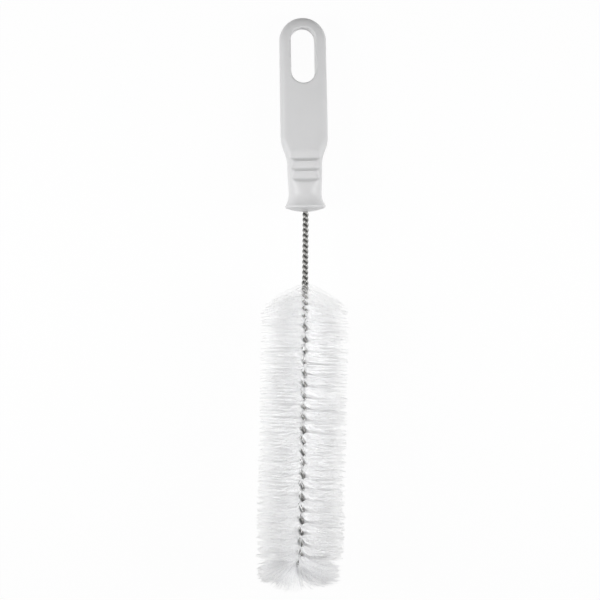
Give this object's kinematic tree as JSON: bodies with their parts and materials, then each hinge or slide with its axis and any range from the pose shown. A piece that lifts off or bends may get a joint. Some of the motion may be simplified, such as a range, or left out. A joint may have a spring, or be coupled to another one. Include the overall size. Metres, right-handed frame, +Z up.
{
  "type": "bottle brush",
  "caption": "Bottle brush with a moulded plastic handle, a hanging slot, a twisted wire core and a round head of white nylon bristles",
  "frame": {"origin": "on the table, under the middle of the brush as it lies", "axes": "+Y towards the handle's end, +X across the flat of the handle, +Z up; the brush lies at rest, tilted about 7 degrees down towards its handle"},
  "size_m": [0.0576, 0.3484, 0.0713],
  "materials": {
    "handle_plastic": "satin moulded",
    "wire_steel": "drawn galvanised wire",
    "bristle_nylon": "fine nylon filaments"
  },
  "bodies": {
    "root": {"handle": "handle_plastic", "wire_strand_a": "wire_steel", "wire_strand_b": "wire_steel", "bristles": "bristle_nylon"}
  },
  "joints": []
}
